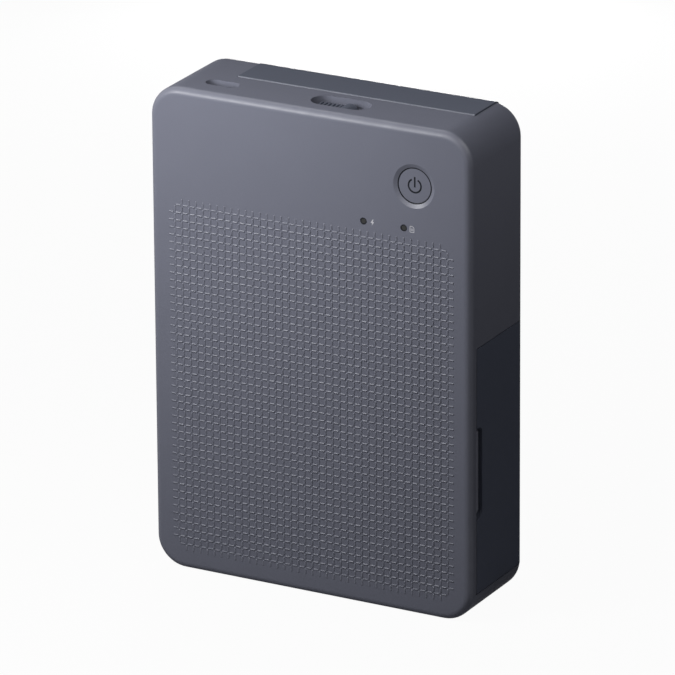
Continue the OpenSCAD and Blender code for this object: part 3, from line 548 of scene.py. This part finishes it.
def paper_runs():
    """Low runs that the paper slides on, on the tray and on the pressure plate."""
    low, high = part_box("pressure_plate")
    middle = (low[0] + high[0]) / 2
    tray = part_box("paper_tray")[0][1] + TRAY_FLOOR
    for name, body, face, away in (("tray_runs", "case", tray, 1),
                                   ("plate_runs", "press_plate", low[1], -1)):
        verts, faces = [], []
        for run in RUNS:
            x = middle + run * MM
            y0, y1 = sorted((face - away * SINK, face + away * RUN_RISE))
            foot = (x - RUN_WIDTH / 2, y0, low[2] + BELOW_RUNS)
            add_block(verts, faces, foot, (x + RUN_WIDTH / 2, y1, high[2] - ABOVE_RUNS))
        new_piece(name, verts, faces, dark_finish, body)


# Ribs of the door: its wall, the ribs' width and rise, and the bare border round them

DOOR_WALL = 1.8 * MM
DOOR_RIB = 0.6 * MM
DOOR_RIB_RISE = 0.5 * MM
RIBS_FROM_FRONT = 5.5 * MM
RIBS_FROM_BACK = 8.5 * MM
RIBS_FROM_ENDS = 3 * MM


def door_ribs():
    """A frame of thin ribs on the inside of the ink door."""
    low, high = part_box("ink_door")
    face = high[0] - DOOR_WALL
    x0, x1 = face - DOOR_RIB_RISE, face + SINK
    y0, y1 = low[1] + RIBS_FROM_FRONT, high[1] - RIBS_FROM_BACK
    z0, z1 = low[2] + RIBS_FROM_ENDS, high[2] - RIBS_FROM_ENDS
    verts, faces = [], []
    for z in (z0, z0 + (z1 - z0) / 3, z0 + 2 * (z1 - z0) / 3, z1):
        add_block(verts, faces, (x0, y0, z - DOOR_RIB / 2), (x1, y1, z + DOOR_RIB / 2))
    for y in (y0, (y0 + y1) / 2, y1):
        add_block(verts, faces, (x0, y - DOOR_RIB / 2, z0), (x1, y + DOOR_RIB / 2, z1))
    new_piece("door_ribs", verts, faces, door_finish, "door")


# Face of the cassette: rings as inner radius, outer radius and rise, and the grip bars at its ends

SPOOLS = (("takeup", "takeup_spool"), ("supply", "supply_spool"))
FACE_RINGS = ((2.9 * MM, 3.6 * MM, 0.35 * MM), (6.2 * MM, 6.7 * MM, 0.2 * MM))
GRIPS = 3
GRIP_PITCH = 0.9 * MM
GRIP_START = 9.3 * MM
GRIP_FRONT = 3 * MM
GRIP_BACK = 2.2 * MM
GRIP_RISE = 0.3 * MM


def spool_centre(node):
    """The middle of a spool in Y and Z."""
    low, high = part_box(node)
    return (low[1] + high[1]) / 2, (low[2] + high[2]) / 2


def cassette_rings():
    """Rings round the cassette's spool holes, and short grip bars between them."""
    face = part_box("ink_cassette")[1][0]
    verts, faces = [], []
    for body, node in SPOOLS:
        for inner, outer, rise in FACE_RINGS:
            add_ring(verts, faces, spool_centre(node), inner, outer, face - SINK, face + rise)
    takeup, supply = [spool_centre(node) for body, node in SPOOLS]
    middle = supply[0]
    upper = supply[1] - GRIP_START - GRIPS * GRIP_PITCH + GRIP_PITCH / 2
    for end in (takeup[1] + GRIP_START, upper):
        for i in range(GRIPS):
            z = end + i * GRIP_PITCH
            add_block(verts, faces, (face - SINK, middle - GRIP_FRONT, z),
                      (face + GRIP_RISE, middle + GRIP_BACK, z + GRIP_PITCH / 2))
    new_piece("cassette_rings", verts, faces, dark_finish, "case")


# Hub of a spool: its ring, and the arms round it as start, end and half width

HUB_INNER = 0.8 * MM
HUB_OUTER = 1.25 * MM
HUB_RISE = 0.15 * MM
HUB_STEPS = 24
HUB_ARMS = 6
ARM_START = 1.2 * MM
ARM_END = 2.05 * MM
ARM_HALF = 0.22 * MM


def spool_hub(body, node):
    """A ring with short arms on the end of a spool."""
    y, z = spool_centre(node)
    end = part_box(node)[1][0]
    back, front = end - SINK, end + HUB_RISE
    verts, faces = [], []
    add_ring(verts, faces, (y, z), HUB_INNER, HUB_OUTER, back, front, HUB_STEPS)
    for arm in range(HUB_ARMS):
        angle = math.radians(360 / HUB_ARMS * arm)
        c, s = math.cos(angle), math.sin(angle)
        start = len(verts)
        for x in (back, front):
            for u, v in ((ARM_START, -ARM_HALF), (ARM_END, -ARM_HALF), (ARM_END, ARM_HALF),
                         (ARM_START, ARM_HALF)):
                verts.append((x, y + u * c - v * s, z + u * s + v * c))
        faces.append((start + 4, start + 5, start + 6, start + 7))
        for i in range(4):
            j = (i + 1) % 4
            faces.append((start + i, start + j, start + 4 + j, start + 4 + i))
    new_piece(body + "_hub", verts, faces, hub_finish, body)


# Floor, lamps and world

def show_white(tree, lit, white, amount):
    """Shader that shows `white` by that amount where it is seen straight on, in gloss or through glass."""
    path = tree.nodes.new("ShaderNodeLightPath")
    seen = math_node(tree, "MAXIMUM", path.outputs["Is Camera Ray"], path.outputs["Is Glossy Ray"])
    seen = math_node(tree, "MAXIMUM", seen, path.outputs["Is Transmission Ray"])
    scale = math_node(tree, "MULTIPLY", seen, amount)
    mix = tree.nodes.new("ShaderNodeMixShader")
    tree.links.new(scale, mix.inputs[0])
    tree.links.new(lit, mix.inputs[1])
    tree.links.new(white, mix.inputs[2])
    return mix.outputs[0]


FLOOR_SIZE = 6.0
FLOOR_GREY = 0.4
FLOOR_WHITE = 0.96


def make_floor():
    """A plain pale floor that keeps a soft shadow and otherwise shows as white."""
    half = FLOOR_SIZE / 2
    corners = [(-half, -half, 0), (half, -half, 0), (half, half, 0), (-half, half, 0)]
    mesh = bpy.data.meshes.new("floor")
    mesh.from_pydata(corners, [], [(0, 1, 2, 3)])
    floor = bpy.data.objects.new("floor", mesh)
    bpy.context.collection.objects.link(floor)
    material = bpy.data.materials.new("floor_paper")
    material.use_nodes = True
    tree = material.node_tree
    tree.nodes.clear()
    out = tree.nodes.new("ShaderNodeOutputMaterial")
    matt = tree.nodes.new("ShaderNodeBsdfDiffuse")
    matt.inputs["Color"].default_value = (FLOOR_GREY, FLOOR_GREY, FLOOR_GREY, 1)
    white = tree.nodes.new("ShaderNodeEmission")
    white.inputs["Strength"].default_value = 1.0
    tree.links.new(show_white(tree, matt.outputs[0], white.outputs[0], FLOOR_WHITE), out.inputs[0])
    mesh.materials.append(material)


WORLD_FILL = 0.055


def make_world():
    """White to the camera, and a dim even fill for the object."""
    world = bpy.data.worlds.new("world")
    bpy.context.scene.world = world
    world.use_nodes = True
    tree = world.node_tree
    tree.nodes.clear()
    out = tree.nodes.new("ShaderNodeOutputWorld")
    fill = tree.nodes.new("ShaderNodeBackground")
    fill.inputs["Strength"].default_value = WORLD_FILL
    white = tree.nodes.new("ShaderNodeBackground")
    white.inputs["Strength"].default_value = 1.0
    tree.links.new(show_white(tree, fill.outputs[0], white.outputs[0], 1.0), out.inputs[0])


# Name, place, width and power of each lamp
LAMPS = (
    ("key", (-0.11, -0.165, 0.205), 0.1, 0.48),
    ("crown", (-0.05, -0.12, 0.26), 0.12, 0.1),
    ("right_corner", (0.02, -0.14, 0.22), 0.1, 0.08),
    ("right_side", (0.15, 0.0, 0.25), 0.1, 0.082),
    ("back", (-0.28, 0.49, 0.64), 0.4, 1.4),
    ("rear", (-0.25, 0.5, 0.06), 0.14, 1.6),
)
LAMP_AIM = Vector((0, 0, 0.09))


def make_lamps():
    """Soft boxes round the object, all turned to its middle."""
    for name, place, width, power in LAMPS:
        data = bpy.data.lights.new(name, "AREA")
        data.shape = "SQUARE"
        data.size = width
        data.energy = power
        lamp = bpy.data.objects.new(name, data)
        lamp.location = place
        lamp.rotation_euler = (LAMP_AIM - Vector(place)).to_track_quat("-Z", "Y").to_euler()
        lamp.visible_camera = False
        bpy.context.collection.objects.link(lamp)


make_camera()
make_world()
make_floor()
make_lamps()
dress_nodes()
front_pattern()
power_sign()
button_gap_shade()
lens_rims()
lamp_signs()
paper_runs()
door_ribs()
cassette_rings()
for spool_body, spool_node in SPOOLS:
    spool_hub(spool_body, spool_node)
bpy.context.scene.view_settings.view_transform = "Standard"
